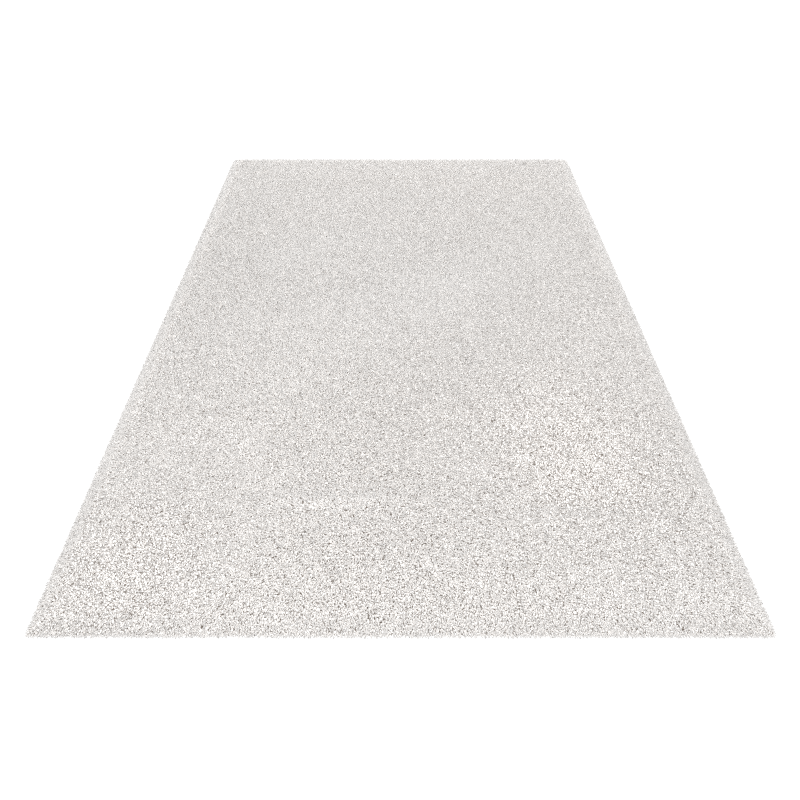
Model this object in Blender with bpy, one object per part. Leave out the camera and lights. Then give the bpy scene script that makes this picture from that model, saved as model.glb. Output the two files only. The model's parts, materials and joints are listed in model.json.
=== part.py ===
# Cream shag rug, 1.60 m by 2.30 m, lying flat on a floor.
#
# Ground cloth and pile are one cloth, so the rug is one solid: a slab with a flat underside, a top of
# clumps of yarn, and an edge that rolls off towards the floor. The outermost yarn falls over that edge in
# locks, which part from each other at their roots and lie level on the floor.
#
# X runs across the rug, Y along it and Z up from the floor. The origin is under the rug's middle.

import math
import random
from itertools import chain

import bmesh
import bpy
from mathutils import Vector, noise

# Outer size, from lock tip to lock tip
RUG_WIDTH = 1.60
RUG_LENGTH = 2.30

# Clumps of pile: one for each cell of the field, highest in its middle
CLUMPS_ACROSS = 28
CLUMPS_ALONG = 40
VALLEY_HEIGHT = 0.0260  # of the pile between the clumps
CLUMP_RISE = 0.0040  # of a clump's middle over the valleys round it
CLUMP_UNEVENNESS = 0.0022  # how far the height of a clump or a valley departs from the others
STAGGER = 0.20  # share of a cell by which every other row and column of valleys is set aside
VALLEY_WANDER = 0.009  # how far a corner between four clumps strays from there
PEAK_WANDER = 0.009  # likewise for a clump's middle
NAP_SWELL = 0.0015  # slow rise and fall of the whole pile, where it is brushed up or down
NAP_SPAN = 0.35  # the size of those brushed areas

# The edge, where the pile rolls off
ROLL_STEPS = (
    # how far out of the field's edge, and how high above the floor
    {"out": 0.011, "height": 0.0265},
    {"out": 0.020, "height": 0.0215},
)
ROLL_UNEVENNESS = 0.0022
ROLL_WANDER = 0.0025

# Locks of yarn that fall over the edge
LOCK_REACH = 0.026  # of the longest locks, beyond the rim
SHORTEST_LOCK = 0.55  # share of that reach
LONG_LOCKS = 0.25  # share of the locks that have the full reach
LOCK_LEAN = 0.008  # how far a lock's tip may stray along the edge
LOCK_GIRTHS = (0.80, 1.15)  # thin and thick locks, as shares of the usual width
LOCKS_PER_CLUMP = 2
LOCK_STEPS = (
    # share of the lock's reach, share of its root's width, and height of its back above the floor
    {"out": 0.45, "width": 1.25, "height": 0.0145},
    {"out": 1.00, "width": 0.32, "height": 0.0035},
)
CORNER_SPAN = 0.070  # the stretch next to a corner over which the locks turn towards it
CORNER_TURN = 0.7  # how far the last of them turns: 1 would be the full diagonal

YARN_COLOUR = (0.74, 0.71, 0.67, 1.0)
YARN_ROUGHNESS = 0.95
SEED = 11

RIM_HALF = (RUG_WIDTH / 2 - LOCK_REACH, RUG_LENGTH / 2 - LOCK_REACH)
FIELD_HALF = tuple(half - ROLL_STEPS[-1]["out"] for half in RIM_HALF)


def clear_scene():
    for ob in list(bpy.data.objects):
        bpy.data.objects.remove(ob, do_unlink=True)


def either_way(rng, most):
    """A number from -most to most."""
    return rng.uniform(-most, most)


def swell(point):
    """How far brushing lifts or lays the pile here."""
    return NAP_SWELL * noise.noise(Vector((point.x, point.y, 0)) / NAP_SPAN)


def lay_field(bm, rng):
    """The pile inside the rolled edge: an uneven grid of valleys, with a clump in each cell."""
    bmesh.ops.create_grid(bm, x_segments=CLUMPS_ACROSS, y_segments=CLUMPS_ALONG, size=1)
    bmesh.ops.scale(bm, vec=(*FIELD_HALF, 1), verts=bm.verts)
    cell = (2 * FIELD_HALF[0] / CLUMPS_ACROSS, 2 * FIELD_HALF[1] / CLUMPS_ALONG)
    for corner in bm.verts:
        column, row = (round((corner.co[axis] + FIELD_HALF[axis]) / cell[axis]) for axis in (0, 1))
        if not corner.is_boundary:
            corner.co.x += STAGGER * cell[0] * (-1) ** row + either_way(rng, VALLEY_WANDER)
            corner.co.y += STAGGER * cell[1] * (-1) ** column + either_way(rng, VALLEY_WANDER)
        corner.co.z = VALLEY_HEIGHT + either_way(rng, CLUMP_UNEVENNESS) + swell(corner.co)
    for peak in bmesh.ops.poke(bm, faces=bm.faces)["verts"]:
        peak.co.x += either_way(rng, PEAK_WANDER)
        peak.co.y += either_way(rng, PEAK_WANDER)
        rise = CLUMP_RISE + either_way(rng, CLUMP_UNEVENNESS)
        peak.co.z = VALLEY_HEIGHT + rise + swell(peak.co)


def outer_edges(bm):
    return [edge for edge in bm.edges if edge.is_boundary]


def added(result, kind):
    """What an operator made, of one kind."""
    return [item for item in result["geom"] if isinstance(item, kind)]


def roll_off_edge(bm, rng):
    """Rings round the field, each further out and lower than the one before. Only the last is straight."""
    half = FIELD_HALF
    rings = [[vert for vert in bm.verts if vert.is_boundary]]
    for step in ROLL_STEPS:
        ring = added(bmesh.ops.extrude_edge_only(bm, edges=outer_edges(bm)), bmesh.types.BMVert)
        wider = tuple(field + step["out"] for field in FIELD_HALF)
        bmesh.ops.scale(bm, vec=(wider[0] / half[0], wider[1] / half[1], 1), verts=ring)
        half = wider
        for vert in ring:
            vert.co.z = step["height"] + either_way(rng, ROLL_UNEVENNESS)
        rings.append(ring)
    for vert in chain(*rings[:-1]):
        vert.co.x += either_way(rng, ROLL_WANDER)
        vert.co.y += either_way(rng, ROLL_WANDER)


def drop_wall(bm):
    """The low wall under the rim, one face for each lock and for each gap between locks."""
    bmesh.ops.subdivide_edges(bm, edges=outer_edges(bm), cuts=2 * LOCKS_PER_CLUMP - 1)
    wall = bmesh.ops.extrude_edge_only(bm, edges=outer_edges(bm))
    for vert in added(wall, bmesh.types.BMVert):
        vert.co.z = 0
    return added(wall, bmesh.types.BMFace)


def close_underside(bm):
    bmesh.ops.contextual_create(bm, geom=outer_edges(bm))


def way_round(face):
    """Where a face of the wall stands on the way round the rug, as an angle."""
    middle = face.calc_center_median()
    return math.atan2(middle.y / RIM_HALF[1], middle.x / RIM_HALF[0])


def outward(middle):
    """The direction in which a lock with its root here falls: straight out, or towards a near corner."""
    side = 0 if RIM_HALF[0] - abs(middle.x) < RIM_HALF[1] - abs(middle.y) else 1
    along = 1 - side
    way = Vector((0, 0, 0))
    way[side] = math.copysign(1, middle[side])
    past = abs(middle[along]) - (RIM_HALF[along] - CORNER_SPAN)
    way[along] = math.copysign(CORNER_TURN * max(0, past / CORNER_SPAN), middle[along])
    return way, side


def grow_lock(bm, root, rng):
    """Draws one face of the wall out into a lock that thins towards its tip and lies on the floor."""
    middle = root.calc_center_median()
    way, side = outward(middle)
    along = 1 - side
    reach = LOCK_REACH
    if rng.random() > LONG_LOCKS:
        reach *= rng.uniform(SHORTEST_LOCK, 1)
    lean = either_way(rng, LOCK_LEAN)
    girth = rng.uniform(*LOCK_GIRTHS)
    corners = [(vert.co[along] - middle[along], vert.co.z > 0) for vert in root.verts]
    face = root
    for step in LOCK_STEPS:
        face = bmesh.ops.extrude_discrete_faces(bm, faces=[face])["faces"][0]
        for vert, (aside, upper) in zip(face.verts, corners):
            out = step["out"] * reach
            vert.co[side] = middle[side] + way[side] * out
            vert.co[along] = middle[along] + aside * step["width"] * girth
            vert.co[along] += way[along] * out + lean * step["out"] ** 2
            vert.co.z = step["height"] if upper else 0


def yarn_material():
    material = bpy.data.materials.new("cream yarn")
    material.use_nodes = True
    shader = material.node_tree.nodes["Principled BSDF"]
    shader.inputs["Base Color"].default_value = YARN_COLOUR
    shader.inputs["Roughness"].default_value = YARN_ROUGHNESS
    shader.inputs["Metallic"].default_value = 0
    material.diffuse_color = YARN_COLOUR
    return material


def make_rug():
    rng = random.Random(SEED)
    bm = bmesh.new()
    lay_field(bm, rng)
    roll_off_edge(bm, rng)
    wall = sorted(drop_wall(bm), key=way_round)
    close_underside(bm)
    for root in wall[::2]:
        grow_lock(bm, root, rng)
    bmesh.ops.recalc_face_normals(bm, faces=bm.faces)
    mesh = bpy.data.meshes.new("shag_rug")
    bm.to_mesh(mesh)
    bm.free()
    mesh.materials.append(yarn_material())
    return bpy.data.objects.new("shag_rug", mesh)


def main():
    clear_scene()
    collection = bpy.data.collections.new("shag rug")
    bpy.context.scene.collection.children.link(collection)
    collection.objects.link(make_rug())


main()
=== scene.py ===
import json
import math

import bmesh
import bpy
import numpy as np
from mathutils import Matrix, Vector

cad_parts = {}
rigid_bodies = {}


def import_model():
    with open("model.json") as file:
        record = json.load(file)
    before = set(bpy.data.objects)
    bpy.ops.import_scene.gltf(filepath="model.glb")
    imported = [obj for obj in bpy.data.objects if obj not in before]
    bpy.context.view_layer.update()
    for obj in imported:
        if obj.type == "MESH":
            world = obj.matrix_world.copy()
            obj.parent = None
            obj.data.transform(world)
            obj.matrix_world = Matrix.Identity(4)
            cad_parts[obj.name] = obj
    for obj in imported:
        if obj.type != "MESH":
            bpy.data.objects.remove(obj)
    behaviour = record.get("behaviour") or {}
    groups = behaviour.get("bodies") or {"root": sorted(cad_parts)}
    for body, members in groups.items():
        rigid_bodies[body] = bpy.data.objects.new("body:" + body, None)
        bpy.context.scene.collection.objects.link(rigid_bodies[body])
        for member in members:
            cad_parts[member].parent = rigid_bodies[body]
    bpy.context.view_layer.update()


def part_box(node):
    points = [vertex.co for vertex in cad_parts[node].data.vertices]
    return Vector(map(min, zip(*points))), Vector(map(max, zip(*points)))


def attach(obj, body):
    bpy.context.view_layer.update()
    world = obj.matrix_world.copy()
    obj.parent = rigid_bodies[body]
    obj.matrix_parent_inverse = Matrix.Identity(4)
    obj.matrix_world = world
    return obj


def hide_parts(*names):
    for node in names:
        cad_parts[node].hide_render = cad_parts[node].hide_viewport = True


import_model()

# Cream shag rug on a pale floor, seen from its near short side. Metres: X across it, Y along it, Z up.
# The bed is the ground cloth with the dense foot of the pile, and yarn ends grow all over it.

rugLow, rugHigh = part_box("shag_rug")
rugWidth = rugHigh.x - rugLow.x
rugLength = rugHigh.y - rugLow.y
hair = 0.00001  # less than any length that counts here


class Wire:
    # A node's output, which Python's operators turn into Math nodes
    def __init__(self, nodes, socket):
        self.nodes = nodes
        self.socket = socket

    def math(self, operation, *values):
        return self.nodes.add("ShaderNodeMath", {"operation": operation}, dict(enumerate(values)))

    def __add__(self, other):
        return self.math("ADD", self, other)

    def __radd__(self, other):
        return self.math("ADD", other, self)

    def __sub__(self, other):
        return self.math("SUBTRACT", self, other)

    def __rsub__(self, other):
        return self.math("SUBTRACT", other, self)

    def __mul__(self, other):
        return self.math("MULTIPLY", self, other)

    def __rmul__(self, other):
        return self.math("MULTIPLY", other, self)

    def __truediv__(self, other):
        return self.math("DIVIDE", self, other)

    def __rtruediv__(self, other):
        return self.math("DIVIDE", other, self)

    def floor(self):
        return self.math("FLOOR", self)

    def part(self):
        return self.math("FRACT", self)

    def size(self):
        return self.math("ABSOLUTE", self)

    def rest(self, whole):
        return self.math("FLOORED_MODULO", self, whole)

    def above(self, other):
        return self.math("GREATER_THAN", self, other)

    def atMost(self, other):
        return self.math("MINIMUM", self, other)

    def atLeast(self, other, over=0.0):
        return self.math("SMOOTH_MAX", self, other, over)


class Nodes:
    def __init__(self, tree):
        self.tree = tree

    # Any node: its settings come first, then the values or links of its sockets
    def add(self, kind, settings=None, inputs=None, output=0):
        node = self.tree.nodes.new(kind)
        for name, value in (settings or {}).items():
            setattr(node, name, value)
        for name, value in (inputs or {}).items():
            self.feed(node.inputs[name], value)
        return Wire(self, node.outputs[output]) if len(node.outputs) else node

    def feed(self, socket, value):
        if isinstance(value, Wire):
            self.tree.links.new(value.socket, socket)
        else:
            socket.default_value = value

    def others(self, wire, *names):
        return [Wire(self, wire.socket.node.outputs[name]) for name in names]

    def spread(self, vector):
        return self.others(self.add("ShaderNodeSeparateXYZ", inputs={0: vector}), 0, 1, 2)

    def join(self, x, y, z):
        return self.add("ShaderNodeCombineXYZ", inputs={0: x, 1: y, 2: z})

    def vector(self, operation, *values):
        return self.add("ShaderNodeVectorMath", {"operation": operation}, dict(enumerate(values)))

    def scaled(self, vector, factor):
        return self.add("ShaderNodeVectorMath", {"operation": "SCALE"}, {0: vector, "Scale": factor})

    def mixed(self, share, low, high):
        return self.add("ShaderNodeMix", {"data_type": "RGBA"}, {0: share, 6: low, 7: high}, 2)

    def ranged(self, value, low, high):
        return self.add("ShaderNodeMapRange", {"interpolation_type": "SMOOTHSTEP"},
                        {"Value": value, "From Min": low, "From Max": high})

    def wander(self, place, grain):
        # A vector that drifts round zero from place to place
        drift = self.add("ShaderNodeTexNoise", {}, {"Vector": place, "Scale": grain, "Detail": 1.0}, 1)
        return self.vector("SUBTRACT", drift, (0.5, 0.5, 0.5))

    def kept(self, name, kind):
        return self.add("GeometryNodeInputNamedAttribute", {"data_type": kind}, {"Name": name})

    def keep(self, geometry, name, kind, domain, value):
        return self.add("GeometryNodeStoreNamedAttribute", {"data_type": kind, "domain": domain},
                        {"Geometry": geometry, "Name": name, "Value": value})


def newMaterial(name):
    material = bpy.data.materials.new(name)
    material.use_nodes = True
    return material, Nodes(material.node_tree), material.node_tree.nodes["Principled BSDF"].inputs


def deselectAll():
    if bpy.context.object and bpy.context.object.mode != "OBJECT":
        bpy.ops.object.mode_set(mode="OBJECT")
    bpy.ops.object.select_all(action="DESELECT")


# A yarn end stands in the bed and leans over to its tip. Its map runs round it and from root to tip.
yarn = {
    "sides": 3,  # no more, as there are some 220,000 ends
    "radius": 0.0030,  # at its root
    "length": 0.0125,
    "sunk": 0.004,  # how deep the root stands in the bed
    "reaches": (0.82, 0.84, 0.87, 0.79, 0.88, 0.82),  # how far aside a tip lies, as a share of the length
    "plies": 4,
    "wind": 0.35,  # turns that the plies make on their way up
    "grooveFrom": 0.5,  # where the groove beside a ply starts: 0 is the ply's middle and 1 its edge
    "grooveShade": 0.22,  # how much darker the groove is painted, as painted shade between the plies
    "plyTone": 0.06,  # how much darker one ply may be than another
    "relief": 0.3,
    "reliefDepth": 0.0008,
    "tones": 32,  # shades that the yarns come in, each in a column of the map: random tone with painted nap light and shade
    "darkest": 0.85,  # of those shades, where the lightest is 1
    "mapEdge": 0.02,  # share of the map left free at its rim
    # painted shade: the root is coloured darker, as the shade deep in the pile
    "rootShadeColour": (0.62, 0.58, 0.54, 1),
    "midColour": (0.965, 0.942, 0.920, 1),
    # painted light: the tip is a touch lighter than the middle, as the lit end
    "tipColour": (0.975, 0.958, 0.939, 1),
    "midFrom": (0.12, 0.50),  # where up the yarn each colour takes over from the one below: the painted root shade gives way to the yarn's own colour
    "tipFrom": (0.30, 0.90),
    "roughness": 0.92,
    "shine": 0.25,
}


def yarnMaterial():
    # A column of the map holds one shade of yarn, random tone with painted nap light and shade, with the
    # plies wound round it
    material, nodes, shader = newMaterial("twistedYarn")
    across, along, _ = nodes.spread(nodes.add("ShaderNodeUVMap", {"uv_map": "OFBake"}))
    across = across * yarn["tones"]
    column = across.floor()
    wound = (across.part() + along * yarn["wind"]) * yarn["plies"]
    ply = wound.rest(yarn["plies"]).floor()
    edge = (wound.part() * 2 - 1).size()
    groove = nodes.ranged(edge, yarn["grooveFrom"], 1.0)
    chance = nodes.add("ShaderNodeTexWhiteNoise", {"noise_dimensions": "2D"},
                       {"Vector": nodes.join(column, ply, 0.0)})
    shade = yarn["darkest"] + column * ((1 - yarn["darkest"]) / (yarn["tones"] - 1))
    # The plies differ at random, and painted shade darkens the grooves between them
    shade = shade * (1 - chance * yarn["plyTone"]) * (1 - groove * yarn["grooveShade"])
    # Painted shade darkens the yarn towards its root, and painted light makes its tip a touch lighter
    body = nodes.mixed(nodes.ranged(along, *yarn["midFrom"]), yarn["rootShadeColour"], yarn["midColour"])
    body = nodes.mixed(nodes.ranged(along, *yarn["tipFrom"]), body, yarn["tipColour"])
    relief = nodes.add("ShaderNodeBump", {}, {"Height": 1 - edge * edge, "Strength": yarn["relief"],
                                              "Distance": yarn["reliefDepth"]})
    nodes.feed(shader["Base Color"], nodes.scaled(body, shade))
    nodes.feed(shader["Normal"], relief)
    shader["Roughness"].default_value = yarn["roughness"]
    shader["Specular IOR Level"].default_value = yarn["shine"]
    return material


def modelYarn(number, reach, material):
    deselectAll()
    # A cone whose foot stands in the bed, turned another way for each end, with its tip drawn aside
    bpy.ops.mesh.primitive_cone_add(vertices=yarn["sides"], radius1=yarn["radius"], radius2=0,
                                    depth=yarn["sunk"], location=(0, 0, -yarn["sunk"] / 2),
                                    rotation=(0, 0, number))
    made = bpy.context.object
    made.name = f"yarnEnd{number}"
    bpy.ops.object.transform_apply(location=True, rotation=True, scale=True)
    bpy.ops.object.mode_set(mode="EDIT")
    bpy.ops.mesh.select_all(action="DESELECT")
    mesh = bmesh.from_edit_mesh(made.data)
    tip = max(mesh.verts, key=lambda corner: corner.co.z)
    tip.select_set(True)
    bmesh.update_edit_mesh(made.data)
    aside = yarn["length"] * reach
    bpy.ops.transform.translate(value=(aside, 0, math.sqrt(yarn["length"] ** 2 - aside ** 2)))
    bpy.ops.object.mode_set(mode="OBJECT")
    bpy.ops.object.shade_smooth()
    mapYarn(made.data)
    made.data.materials.append(material)
    return made


def mapYarn(mesh):
    # Across the map goes the turn round the yarn. The tip lies midway between the corners below it, and a
    # face that crosses the seam goes on past the first full turn.
    layer = mesh.uv_layers.get("UVMap") or mesh.uv_layers.new(name="UVMap")
    layer.name = "yarn"
    tip = max(mesh.vertices, key=lambda corner: corner.co.z).index
    foot = [v for v in mesh.vertices if v.index != tip]
    turns = {v.index: math.atan2(v.co.y, v.co.x) / math.tau % 1 for v in foot}
    first = min(turns.values())
    edge = yarn["mapEdge"]
    for face in mesh.polygons:
        across = {v: turns[v] - first for v in face.vertices if v != tip}
        if tip in face.vertices and max(across.values()) - min(across.values()) > 0.5:
            across = {v: turn + 1 if turn < 0.5 else turn for v, turn in across.items()}
        across[tip] = sum(across.values()) / len(across)
        for corner, v in zip(face.loop_indices, face.vertices):
            layer.data[corner].uv = (edge + (1 - 2 * edge) * across[v], 1 - edge if v == tip else edge)


# The bed: a cushion of cloth and pile foot whose edge rolls off to the floor
bed = {
    "inset": 0.010,  # of its edge inside the yarn tips round the rug
    "height": 0.0198,
    "spacing": 0.012,  # of its mesh
    "rolls": [
        {"out": 0.010, "down": 0.0025},
        {"out": 0.012, "down": 0.0045},
        {"out": 0.012, "down": 0.0055},
        {"out": 0.004, "down": 0.0040},
    ],
    "lumps": [
        {"name": "clump", "size": 0.045, "height": 0.0010},
        {"name": "tuft", "size": 0.018, "height": 0.0010},
    ],
    "grain": 290.0,  # yarns drawn to the metre, across the rug
    "stretch": 0.5,  # width of such a yarn over its length
    "driftGrain": 90.0,
    "drift": 0.012,  # how far the yarns are pushed out of line
    "gap": (0.03, 0.18),  # from its painted-shade dark bottom up to the yarn beside it, as shares of a yarn
    "toneSpread": 0.10,
    "colour": (0.95, 0.922, 0.894, 1),
    "gapShadeColour": (0.09, 0.067, 0.05, 1),
    "relief": 0.8,
    "reliefDepth": 0.0015,
    "roughness": 0.95,
    "sharpFrom": 50,  # degrees between two faces
}


def bedMaterial():
    # The pile between the modelled ends: yarns lying along the rug, with painted shade in the deep gaps
    # round them
    material, nodes, shader = newMaterial("pileFoot")
    place = nodes.add("ShaderNodeTexCoord", output="Object")
    drift = nodes.scaled(nodes.wander(place, bed["driftGrain"]), bed["drift"])
    spot = nodes.vector("MULTIPLY", nodes.vector("ADD", place, drift), (1.0, bed["stretch"], 1.0))
    gap = nodes.add("ShaderNodeTexVoronoi", {"feature": "DISTANCE_TO_EDGE"},
                    {"Vector": spot, "Scale": bed["grain"]})
    tone = nodes.add("ShaderNodeTexVoronoi", {}, {"Vector": spot, "Scale": bed["grain"]}, "Color")
    tone, _, _ = nodes.spread(tone)
    crown = nodes.ranged(gap, *bed["gap"])
    # Painted shade: the gaps between the drawn yarns are coloured near black
    body = nodes.mixed(crown, bed["gapShadeColour"], bed["colour"])
    relief = nodes.add("ShaderNodeBump", {}, {"Height": crown, "Strength": bed["relief"],
                                              "Distance": bed["reliefDepth"]})
    nodes.feed(shader["Base Color"], nodes.scaled(body, 1 - tone * bed["toneSpread"]))
    nodes.feed(shader["Normal"], relief)
    shader["Roughness"].default_value = bed["roughness"]
    return material


def modelBed():
    deselectAll()
    width = rugWidth - 2 * bed["inset"]
    length = rugLength - 2 * bed["inset"]
    roll = sum(step["out"] for step in bed["rolls"])
    fall = sum(step["down"] for step in bed["rolls"])
    half = Vector((width / 2 - roll, length / 2 - roll))
    # A grid from -1 to 1, stretched to the flat field inside the rolled edge
    bpy.ops.mesh.primitive_grid_add(x_subdivisions=round(width / bed["spacing"]),
                                    y_subdivisions=round(length / bed["spacing"]), size=2)
    made = bpy.context.object
    made.name = "pileBed"
    bpy.ops.object.mode_set(mode="EDIT")
    bpy.ops.mesh.select_all(action="SELECT")
    bpy.ops.transform.resize(value=(half.x, half.y, 1), center_override=(0, 0, 0))
    bpy.ops.transform.translate(value=(0, 0, bed["height"]))
    bpy.ops.mesh.region_to_loop()
    for step in [*bed["rolls"], {"out": 0, "down": bed["height"] - fall}]:
        wider = half + Vector((step["out"], step["out"]))
        bpy.ops.mesh.extrude_edges_move(TRANSFORM_OT_translate={"value": (0, 0, -step["down"])})
        bpy.ops.transform.resize(value=(wider.x / half.x, wider.y / half.y, 1),
                                 center_override=(0, 0, 0))
        half = wider
    bpy.ops.mesh.edge_face_add()
    bpy.ops.mesh.select_all(action="SELECT")
    bpy.ops.mesh.normals_make_consistent(inside=False)
    bpy.ops.object.mode_set(mode="OBJECT")
    putInOrder(made)
    liftLumps(made)
    bpy.ops.object.shade_smooth_by_angle(angle=math.radians(bed["sharpFrom"]))
    made.data.materials.append(bedMaterial())
    return made


def putInOrder(made):
    # Extruding numbers its faces differently each run, and the roots of the yarn follow those numbers. So
    # corners and faces get the order of their place.
    loose = made.data
    corners = sorted(loose.vertices, key=lambda corner: corner.co[:])
    rank = {corner.index: number for number, corner in enumerate(corners)}
    faces = []
    for face in loose.polygons:
        ring = [rank[v] for v in face.vertices]
        first = ring.index(min(ring))
        faces.append(ring[first:] + ring[:first])
    made.data = bpy.data.meshes.new(made.name)
    made.data.from_pydata([corner.co for corner in corners], [], sorted(faces))
    bpy.data.meshes.remove(loose)


def liftLumps(made):
    # The flat top gets low lumps, in two sizes
    flat = [v.index for v in made.data.vertices if v.co.z > bed["height"] - hair]
    top = made.vertex_groups.new(name="top")
    top.add(flat, 1.0, "REPLACE")
    for lump in bed["lumps"]:
        texture = bpy.data.textures.new(lump["name"], "CLOUDS")
        texture.noise_scale = lump["size"]
        texture.noise_depth = 1  # no finer lumps on the lumps
        lift = made.modifiers.new(lump["name"], "DISPLACE")
        lift.texture = texture
        lift.strength = lump["height"]
        lift.mid_level = 0.5  # so it lowers the cloth as much as it lifts it
        lift.direction = "Z"
        lift.vertex_group = "top"
        lift.texture_coords = "LOCAL"
        bpy.ops.object.modifier_apply(modifier=lump["name"])
    made.vertex_groups.clear()


# Where the pile has been brushed: each patch's middle, half length, half width and turn in degrees, how
# much lighter its yarn is painted, as painted light or shade of the laid nap, and the way its yarn is laid
brushed = [
    {"x": 0.0, "y": 1.05, "long": 0.80, "wide": 0.14, "turn": 0, "light": 0.4, "lay": (0.0, 0.0)},
    {"x": -0.12, "y": 0.90, "long": 0.30, "wide": 0.10, "turn": 5, "light": 0.3, "lay": (0.0, -0.06)},
    {"x": 0.42, "y": 0.88, "long": 0.28, "wide": 0.16, "turn": 0, "light": 0.7, "lay": (0.0, -0.06)},
    {"x": -0.42, "y": 0.27, "long": 0.14, "wide": 0.10, "turn": 20, "light": -0.4, "lay": (0.0, 0.09)},
    {"x": -0.18, "y": 0.40, "long": 0.20, "wide": 0.06, "turn": 0, "light": -0.3, "lay": (0.0, 0.09)},
    {"x": -0.05, "y": 0.10, "long": 0.70, "wide": 0.45, "turn": 0, "light": -0.5, "lay": (0.0, 0.0)},
    {"x": 0.22, "y": 0.12, "long": 0.34, "wide": 0.16, "turn": 30, "light": -0.3, "lay": (0.06, 0.12)},
    {"x": 0.60, "y": -0.13, "long": 0.30, "wide": 0.22, "turn": 80, "light": -0.1, "lay": (0.10, -0.10)},
    {"x": -0.10, "y": -0.15, "long": 0.60, "wide": 0.30, "turn": 0, "light": -0.1, "lay": (0.0, 0.06)},
    {"x": -0.56, "y": -0.59, "long": 0.18, "wide": 0.05, "turn": 0, "light": 0.3, "lay": (-0.18, -0.18)},
    {"x": -0.39, "y": -0.67, "long": 0.11, "wide": 0.02, "turn": -55, "light": 0.4, "lay": (-0.24, -0.12)},
    {"x": 0.10, "y": -0.53, "long": 0.12, "wide": 0.04, "turn": 0, "light": 0.2, "lay": (0.06, -0.12)},
    {"x": -0.16, "y": -0.81, "long": 0.18, "wide": 0.02, "turn": 0, "light": -0.3, "lay": (0.0, 0.18)},
    {"x": 0.44, "y": -0.85, "long": 0.15, "wide": 0.02, "turn": 4, "light": -0.4, "lay": (0.0, 0.18)},
    {"x": 0.0, "y": -1.10, "long": 0.80, "wide": 0.16, "turn": 0, "light": 0.9, "lay": (0.0, -0.18)},
    {"x": -0.62, "y": -0.95, "long": 0.30, "wide": 0.26, "turn": 45, "light": -0.3, "lay": (-0.36, -0.30)},
    {"x": 0.45, "y": -0.66, "long": 0.45, "wide": 0.34, "turn": -50, "light": -0.8, "lay": (0.42, -0.36)},
    {"x": -0.66, "y": 0.05, "long": 0.90, "wide": 0.22, "turn": 90, "light": -0.4, "lay": (0.0, 0.0)},
    {"x": 0.55, "y": 0.20, "long": 0.60, "wide": 0.30, "turn": 90, "light": 0.0, "lay": (0.12, -0.10)},
]


def brush(made):
    # Each patch fades out from its middle. Attribute "nap" adds up their painted light and shade, and
    # "lie" the ways in which they lay the yarn.
    mesh = made.data
    place = np.empty(len(mesh.vertices) * 3)
    mesh.vertices.foreach_get("co", place)
    x, y, _ = place.reshape(-1, 3).T
    nap = np.zeros(len(x))
    lie = np.zeros((len(x), 3))
    for patch in brushed:
        turn = math.radians(patch["turn"])
        along = (x - patch["x"]) * math.cos(turn) + (y - patch["y"]) * math.sin(turn)
        aside = (y - patch["y"]) * math.cos(turn) - (x - patch["x"]) * math.sin(turn)
        weight = np.exp(-((along / patch["long"]) ** 2 + (aside / patch["wide"]) ** 2))
        nap += patch["light"] * weight
        lie[:, :2] += np.outer(weight, patch["lay"])
    mesh.attributes.new("nap", "FLOAT", "POINT").data.foreach_set("value", nap)
    mesh.attributes.new("lie", "FLOAT_VECTOR", "POINT").data.foreach_set("vector", lie.ravel())


# The pile: how the yarn ends stand on the bed
pile = {
    "strips": 6,
    "apart": 0.00305,  # least distance between two roots
    "crowd": 500000.0,  # roots tried on each square metre
    "steepest": 0.15,  # yarn grows where the bed faces up by more than this
    "upright": 0.9,  # how far it keeps to the way the bed faces, against all the leans below
    "clumpLean": 0.1,  # how far a whole clump leans together
    "clumpGrain": 22.0,
    "strayLean": 0.2,  # how far one yarn leans alone
    "clear": 0.004,  # height at which tips pass over the floor
    "spin": 0.5,  # how far a yarn turns out of the way it leans, in radians
    "rimSpin": 0.7,  # share of that on the rolled edge
    "droop": 0.15,  # how far the side that a yarn bends to is turned down
    "girths": (0.85, 1.15),  # of thin and thick yarn, as shares of the usual
    "lengths": (0.97, 1.03),
    "napLightAndShade": 0.55,  # how far the painted light and shade of brushing shifts a yarn's colour
    "strayTone": 0.35,  # how far chance does
    "lastTone": 0.999,  # the lightest, still in the last column of the yarn's map
    "settle": 0.003,  # the floor presses yarn together below this
    "seed": 5,
}


def newTree(name, *values):
    # A node group that takes a mesh and these numbers
    tree = bpy.data.node_groups.new(name, "GeometryNodeTree")
    tree.interface.new_socket(name="Geometry", in_out="INPUT", socket_type="NodeSocketGeometry")
    for value in values:
        tree.interface.new_socket(name=value, in_out="INPUT", socket_type="NodeSocketFloat")
    tree.interface.new_socket(name="Geometry", in_out="OUTPUT", socket_type="NodeSocketGeometry")
    nodes = Nodes(tree)
    return tree, nodes, nodes.add("NodeGroupInput")


def rootTree():
    # A point for each yarn's root, spread evenly over the bed
    tree, nodes, cloth = newTree("rootPile")
    facing = nodes.add("GeometryNodeInputNormal")
    _, _, faceUp = nodes.spread(facing)
    cloth = nodes.keep(cloth, "facing", "FLOAT_VECTOR", "POINT", facing)
    roots = nodes.add("GeometryNodeDistributePointsOnFaces", {"distribute_method": "POISSON"},
                      {"Mesh": cloth, "Selection": faceUp.above(pile["steepest"]),
                       "Distance Min": pile["apart"], "Density Max": pile["crowd"], "Seed": pile["seed"]})
    nodes.add("NodeGroupOutput", {}, {0: nodes.add("GeometryNodePointsToVertices", {}, {0: roots})})
    return tree


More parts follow.
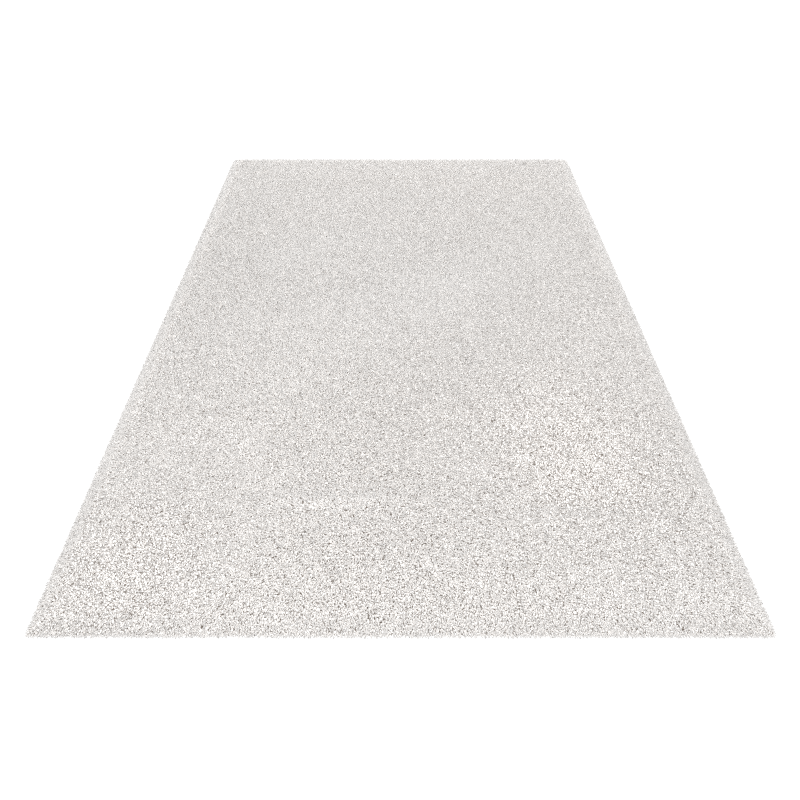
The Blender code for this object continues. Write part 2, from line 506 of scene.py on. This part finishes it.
def growthTree(ends):
    # A yarn end on each root between From and To, made real, with its shade kept in its own map
    tree, nodes, roots = newTree("growPile", "From", "To")
    start, end = nodes.others(roots, "From", "To")

    def scattered(low, high, number):
        # Chance, another for each number
        return nodes.add("FunctionNodeRandomValue", {"data_type": "FLOAT"},
                         {2: low, 3: high, "Seed": pile["seed"] + number}, 1)

    place = nodes.add("GeometryNodeInputPosition")
    _, y, level = nodes.spread(place)
    roots = nodes.add("GeometryNodeDeleteGeometry", {"domain": "POINT"},
                      {"Geometry": roots, "Selection": 1 - y.above(start) * (1 - y.above(end))})

    # The way each yarn leans
    facing = nodes.kept("facing", "FLOAT_VECTOR")
    clump = nodes.scaled(nodes.wander(place, pile["clumpGrain"]), pile["clumpLean"])
    stray = nodes.join(scattered(-0.5, 0.5, 1), scattered(-0.5, 0.5, 2), 0.0)
    lean = nodes.vector("ADD", clump, nodes.scaled(stray, pile["strayLean"]))
    lean = nodes.vector("ADD", lean, nodes.kept("lie", "FLOAT_VECTOR"))
    way = nodes.vector("ADD", nodes.scaled(facing, pile["upright"]), lean)
    wayX, wayY, wayZ = nodes.spread(nodes.vector("NORMALIZE", way))
    wayZ = wayZ.atLeast((pile["clear"] - level) / yarn["length"])
    turned = nodes.add("FunctionNodeAlignRotationToVector", {"axis": "Z"},
                       {"Vector": nodes.join(wayX, wayY, wayZ)})
    turned = nodes.add("FunctionNodeAlignRotationToVector", {"axis": "X", "pivot_axis": "Z"},
                       {"Rotation": turned, "Vector": nodes.join(wayX, wayY, -pile["droop"])})
    _, _, faceUp = nodes.spread(facing)
    spin = scattered(-pile["spin"], pile["spin"], 3) * faceUp.atLeast(pile["rimSpin"])
    spin = nodes.add("FunctionNodeEulerToRotation", {}, {0: nodes.join(0.0, 0.0, spin)})
    turned = nodes.add("FunctionNodeRotateRotation", {"rotation_space": "LOCAL"},
                       {"Rotation": turned, "Rotate By": spin})

    # Which end goes where, how large it is, and how light it is painted: random tone plus painted nap
    # shading
    girth = scattered(*pile["girths"], 4)
    which = nodes.add("FunctionNodeRandomValue", {"data_type": "INT"},
                      {4: 0, 5: len(yarn["reaches"]) - 1, "Seed": pile["seed"] + 6}, 2)
    stock = nodes.add("GeometryNodeCollectionInfo", {},
                      {"Collection": ends, "Separate Children": True,
                       "Reset Children": True})
    size = nodes.join(girth, girth, scattered(*pile["lengths"], 5))
    yarns = nodes.add("GeometryNodeInstanceOnPoints", {},
                      {"Points": roots, "Instance": stock, "Pick Instance": True,
                       "Instance Index": which, "Rotation": turned, "Scale": size})
    stray = scattered(-0.5, 0.5, 7) * pile["strayTone"]
    # Painted light and shade of the brushed nap, on top of a tone that differs by chance
    tone = 0.5 + nodes.kept("nap", "FLOAT") * pile["napLightAndShade"] + stray
    tone = tone.atLeast(0.0).atMost(pile["lastTone"])
    yarns = nodes.keep(yarns, "tone", "FLOAT", "INSTANCE", tone)
    yarns = nodes.add("GeometryNodeRealizeInstances", {}, {0: yarns})

    # The outermost yarns lie on the floor
    x, y, z = nodes.spread(place)
    yarns = nodes.add("GeometryNodeSetPosition", {},
                      {"Geometry": yarns, "Position": nodes.join(x, y, z.atLeast(0.0, pile["settle"]))})

    across, along, _ = nodes.spread(nodes.kept("yarn", "FLOAT_VECTOR"))
    column = ((nodes.kept("tone", "FLOAT") * yarn["tones"]).floor() + across) / yarn["tones"]
    yarns = nodes.keep(yarns, "OFBake", "FLOAT2", "CORNER", nodes.join(column, along, 0.0))
    for spare in ("tone", "nap", "lie", "facing", "yarn"):
        yarns = nodes.add("GeometryNodeRemoveAttribute", {}, {"Geometry": yarns, "Name": spare})
    nodes.add("NodeGroupOutput", {}, {0: yarns})
    return tree


def grown(name, mesh, tree, **values):
    # A new object with a copy of this mesh, put through a node group with these values for its sockets
    deselectAll()
    made = bpy.data.objects.new(name, mesh.copy())
    bpy.context.scene.collection.objects.link(made)
    made.select_set(True)
    bpy.context.view_layer.objects.active = made
    made.data.materials.clear()
    grow = made.modifiers.new("grow", "NODES")
    grow.node_group = tree
    taken = [item for item in tree.interface.items_tree if item.in_out == "INPUT"]
    sockets = {item.name: item.identifier for item in taken}
    for socket, value in values.items():
        grow[sockets[socket]] = value
    bpy.ops.object.modifier_apply(modifier="grow")
    return made


def growPile(cloth):
    material = yarnMaterial()
    ends = bpy.data.collections.new("yarnEnds")
    for number, reach in enumerate(yarn["reaches"]):
        end = modelYarn(number, reach, material)
        for home in list(end.users_collection):
            home.objects.unlink(end)
        ends.objects.link(end)
    roots = grown("pileRoots", cloth.data, rootTree())
    tree = growthTree(ends)
    strips = []
    for number in range(pile["strips"]):
        start = rugLength * (number / pile["strips"] - 0.5)
        strips.append(grown(f"pileStrip{number + 1}", roots.data, tree,
                            From=start, To=start + rugLength / pile["strips"]))
    print("pile:", len(roots.data.vertices), "yarn ends in", len(strips), "strips")
    for spare in (roots, *ends.objects):
        bpy.data.objects.remove(spare, do_unlink=True)
    return strips


# Soft light from all round, with a large lamp above, on a floor that burns out to white
studio = {
    "floorSize": 60.0,
    "floorBelow": 0.0004,  # a hair's breadth, so that floor and bed don't share a plane
    "floorColour": (0.93, 0.93, 0.93, 1),
    "floorRoughness": 1.0,
    "floorShine": 0.0,
    "skyColour": (1, 1, 1, 1),
    "skyStrength": 1.60,
    "lampSize": 4.0,
    "lampPlace": (-0.3, -1.2, 3.6),
    "lampPower": 51.0,
    "bounces": 10,  # light goes back and forth between pale yarns many times
}


def setStudio():
    deselectAll()
    bpy.ops.mesh.primitive_plane_add(size=studio["floorSize"], location=(0, 0, -studio["floorBelow"]))
    floor = bpy.context.object
    floor.name = "floor"
    material, _, shader = newMaterial("paleFloor")
    shader["Base Color"].default_value = studio["floorColour"]
    shader["Roughness"].default_value = studio["floorRoughness"]
    shader["Specular IOR Level"].default_value = studio["floorShine"]
    floor.data.materials.append(material)
    world = bpy.data.worlds.new("studio")
    world.use_nodes = True
    sky = world.node_tree.nodes["Background"].inputs
    sky["Color"].default_value = studio["skyColour"]
    sky["Strength"].default_value = studio["skyStrength"]
    scene = bpy.context.scene
    scene.world = world
    bpy.ops.object.light_add(type="AREA", location=studio["lampPlace"])
    lamp = bpy.context.object.data
    lamp.size = studio["lampSize"]
    lamp.energy = studio["lampPower"]
    scene.view_settings.view_transform = "Standard"
    scene.cycles.diffuse_bounces = studio["bounces"]
    scene.cycles.use_denoising = False  # the denoiser wipes out the grain of the pile
    print("studio: set")


# The camera stands over the near short side and looks along the rug
camera = {
    "place": (0.0, -1.659, 1.252),
    "pitch": 45.92,  # degrees below the horizon
    "lens": 26.80,
    "sensor": 36.0,
    "shift": -0.0004,  # of the frame, sideways
}


def setCamera():
    tilt = math.radians(90 - camera["pitch"])
    bpy.ops.object.camera_add(location=camera["place"], rotation=(tilt, 0, 0))
    eye = bpy.context.object
    eye.data.lens = camera["lens"]
    eye.data.sensor_width = camera["sensor"]
    eye.data.shift_x = camera["shift"]
    bpy.context.scene.camera = eye
    print("camera: set")


setCamera()
setStudio()
cloth = modelBed()
print("bed:", len(cloth.data.polygons), "faces")
brush(cloth)
strips = growPile(cloth)
for spare in ("nap", "lie"):
    cloth.data.attributes.remove(cloth.data.attributes[spare])

for piece in [cloth, *strips]:
    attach(piece, "root")
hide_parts("shag_rug")
